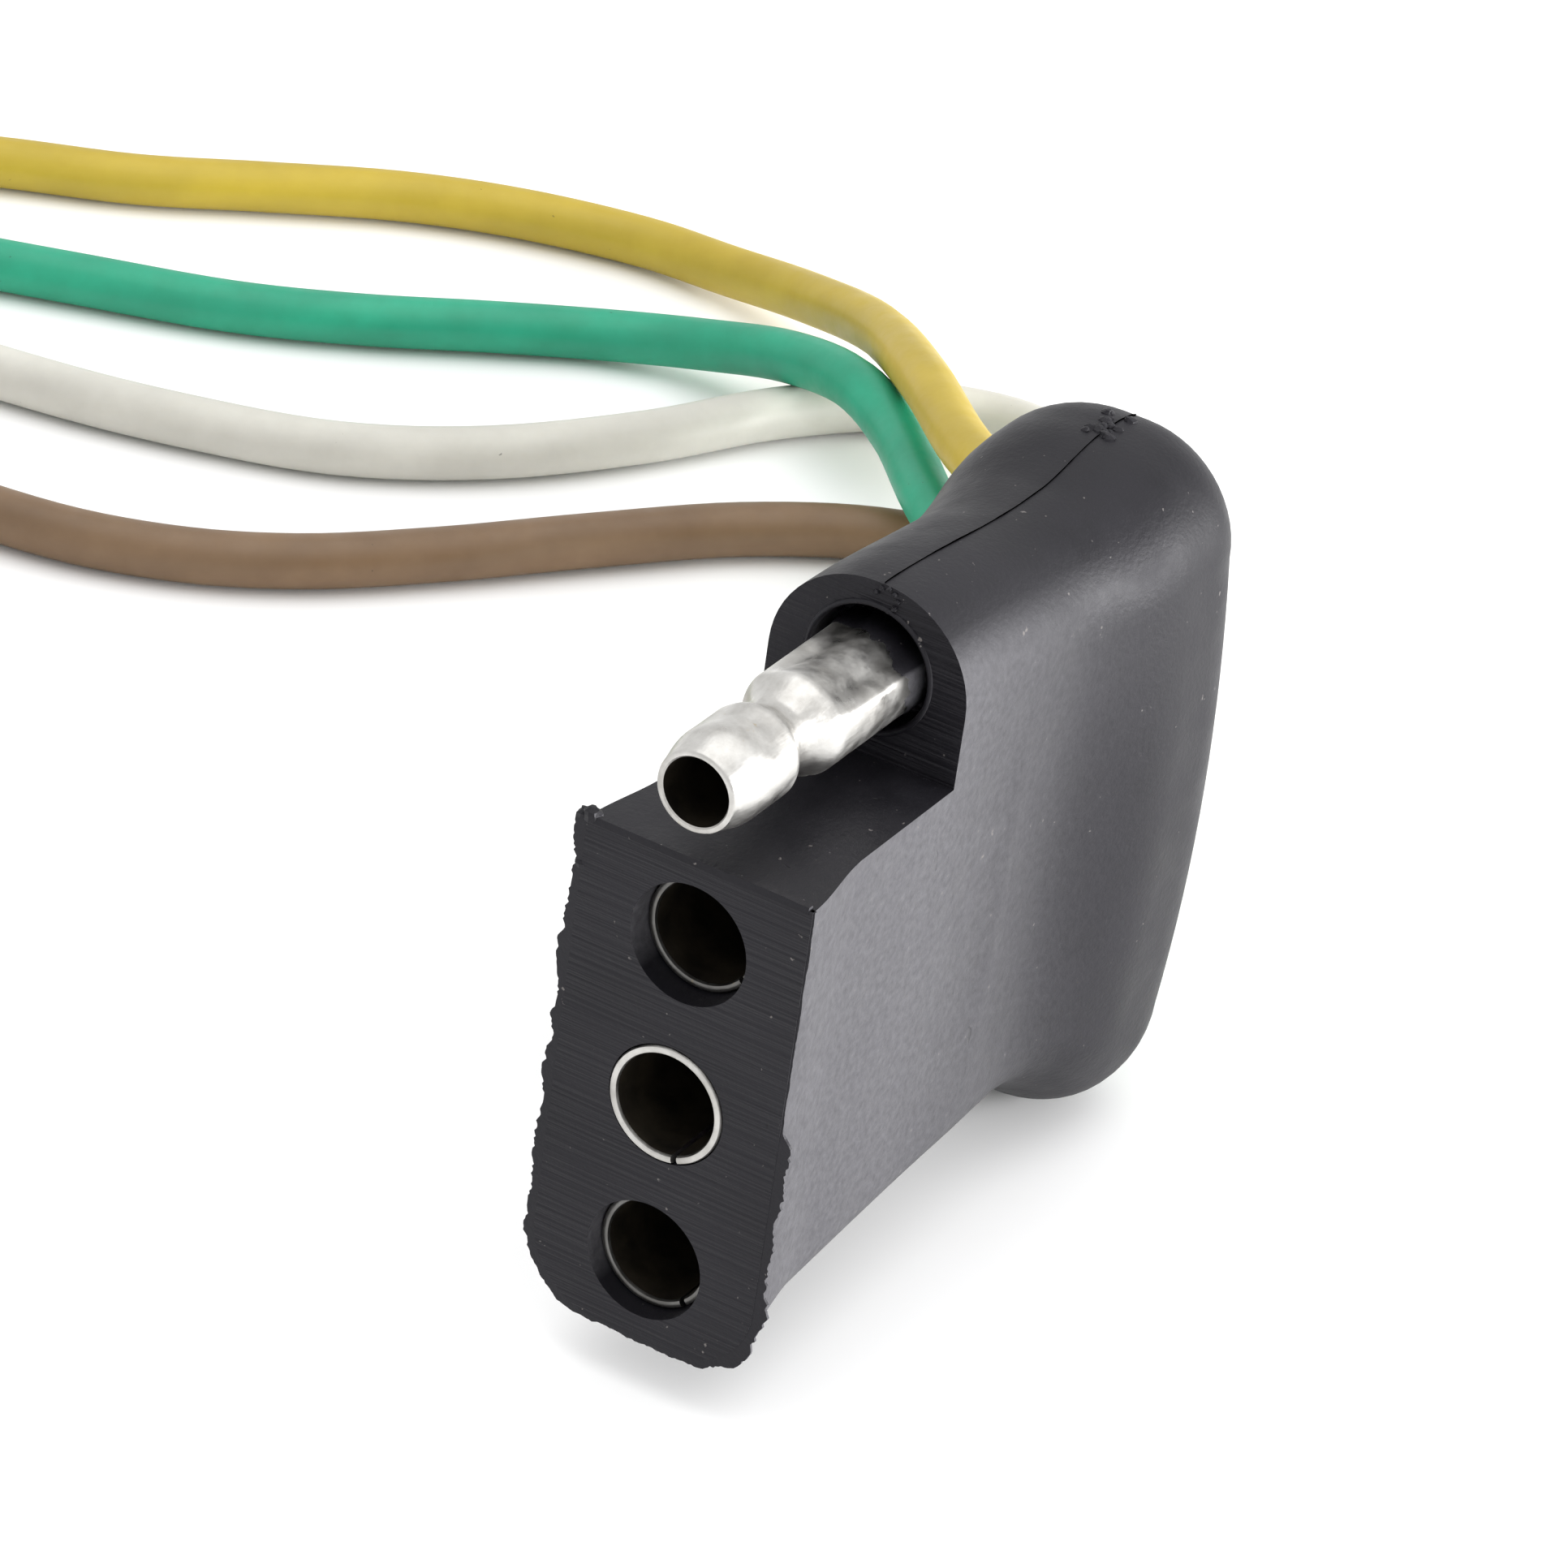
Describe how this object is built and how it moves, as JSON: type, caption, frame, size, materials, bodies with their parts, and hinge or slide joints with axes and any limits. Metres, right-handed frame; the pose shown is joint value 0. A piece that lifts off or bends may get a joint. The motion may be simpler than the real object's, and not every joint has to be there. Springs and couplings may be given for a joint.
{
  "type": "trailer wiring connector",
  "caption": "Flat four-way trailer wiring connector, moulded black, with shrouded sockets in a row, an exposed ground pin on a step and coloured wires leaving the back.",
  "frame": {"origin": "centre of the connector's box, on the surface it stands on, without the free wires", "axes": "+X the mating direction, +Y across the broad sides, +Z from the sockets to the ground pin"},
  "size_m": [0.0891, 0.1407, 0.0326],
  "materials": {
    "moulded_black": "matt moulded PVC with a faint sheen",
    "tinned_brass": "tin plated, soft shine",
    "copper": "stranded copper",
    "insulation_white": "satin PVC",
    "insulation_brown": "satin PVC",
    "insulation_yellow": "satin PVC",
    "insulation_green": "satin PVC",
    "tie_black": "plastic strip"
  },
  "bodies": {
    "root": {"housing": "moulded_black", "ground_pin": "tinned_brass", "socket_brown": "tinned_brass", "socket_yellow": "tinned_brass", "socket_green": "tinned_brass", "core_white": "copper", "core_brown": "copper", "core_yellow": "copper", "core_green": "copper", "jacket_white": "insulation_white", "jacket_brown": "insulation_brown", "jacket_yellow": "insulation_yellow", "jacket_green": "insulation_green", "wire_white": "insulation_white", "wire_brown": "insulation_brown", "wire_yellow": "insulation_yellow", "wire_green": "insulation_green", "wire_coil": "insulation_yellow", "coil_tie_a": "tie_black", "coil_tie_b": "tie_black"}
  },
  "joints": []
}
